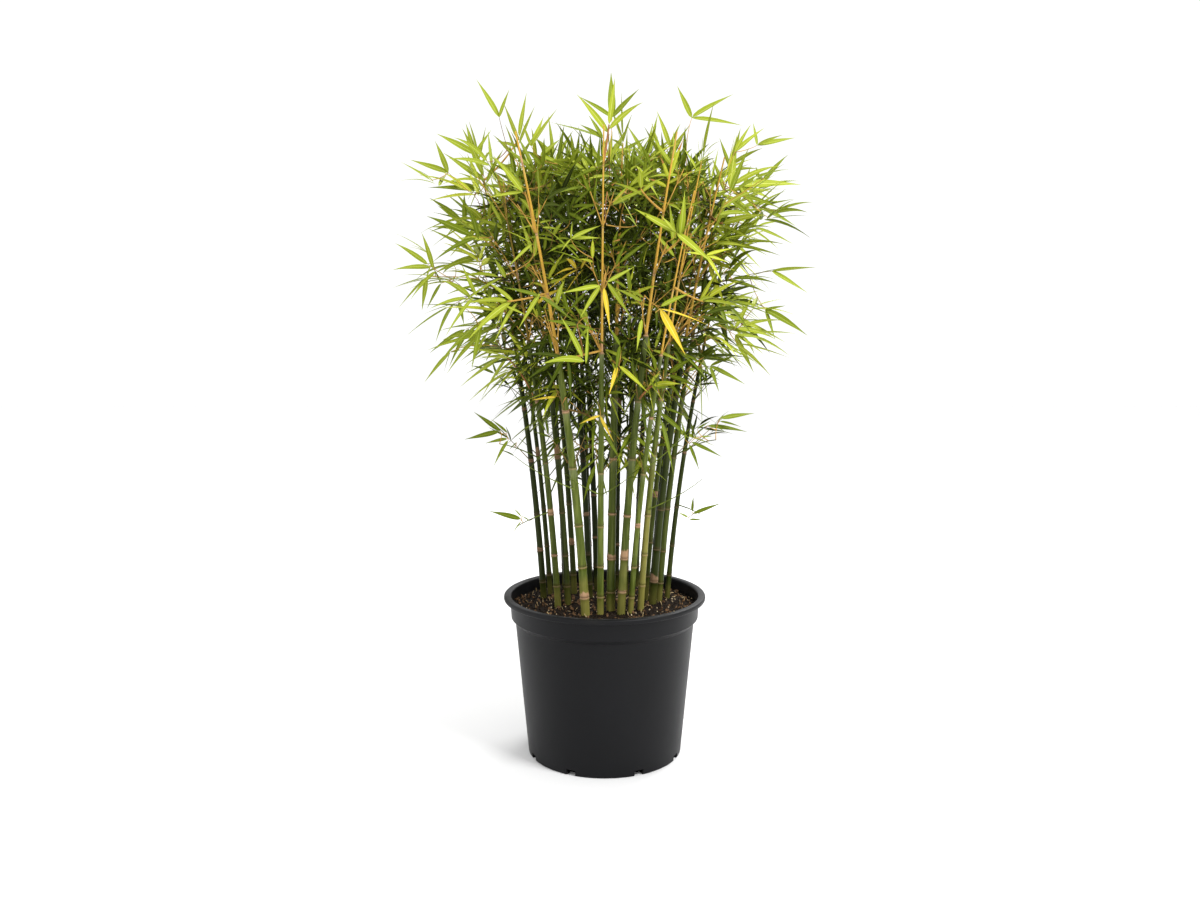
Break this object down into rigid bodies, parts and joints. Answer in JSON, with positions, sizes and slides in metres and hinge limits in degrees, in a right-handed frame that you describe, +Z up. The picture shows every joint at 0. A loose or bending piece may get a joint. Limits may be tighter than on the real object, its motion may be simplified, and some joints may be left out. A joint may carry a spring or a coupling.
{
  "type": "potted bamboo",
  "caption": "Clumping bamboo in a round black nursery pot: upright green canes rise from dark potting soil into a dense crown of narrow leaves.",
  "frame": {"origin": "centre of the pot's flat underside, on the ground", "axes": "+Z up along the pot's axis, -Y towards the front, +X to the right seen from the front"},
  "size_m": [0.5797, 0.5698, 0.9394],
  "materials": {
    "black_plastic": "satin black moulded plastic with a faint grain",
    "potting_soil": "loose dark bark and peat crumbs",
    "cane": "smooth green bamboo with tan node rings, golden higher up",
    "foliage": "narrow leaves from lime to deep green, a few yellow"
  },
  "bodies": {
    "root": {"cane_01": "cane", "cane_02": "cane", "cane_03": "cane", "cane_04": "cane", "cane_05": "cane", "cane_06": "cane", "cane_07": "cane", "cane_08": "cane", "cane_09": "cane", "cane_10": "cane", "cane_11": "cane", "cane_12": "cane", "cane_13": "cane", "cane_14": "cane", "cane_15": "cane", "cane_16": "cane", "cane_17": "cane", "cane_18": "cane", "cane_19": "cane", "cane_20": "cane", "cane_21": "cane", "cane_22": "cane", "cane_23": "cane", "crown_heart_1": "foliage", "crown_heart_2": "foliage", "crown_top_1": "foliage", "crown_top_2": "foliage", "crown_top_3": "foliage", "hanging_leaves_1": "foliage", "hanging_leaves_2": "foliage", "low_spray_1": "foliage", "low_spray_2": "foliage", "low_spray_3": "foliage", "low_spray_4": "foliage", "lower_crown_1": "foliage", "lower_crown_2": "foliage", "lower_crown_3": "foliage", "lower_crown_4": "foliage", "lower_crown_5": "foliage", "lower_crown_6": "foliage", "lower_crown_7": "foliage", "middle_crown_1": "foliage", "middle_crown_2": "foliage", "middle_crown_3": "foliage", "middle_crown_4": "foliage", "middle_crown_5": "foliage", "middle_crown_6": "foliage", "middle_crown_7": "foliage", "middle_crown_8": "foliage", "pot": "black_plastic", "soil": "potting_soil", "upper_crown_1": "foliage", "upper_crown_2": "foliage", "upper_crown_3": "foliage", "upper_crown_4": "foliage", "upper_crown_5": "foliage", "upper_crown_6": "foliage", "upper_crown_7": "foliage"}
  },
  "joints": []
}
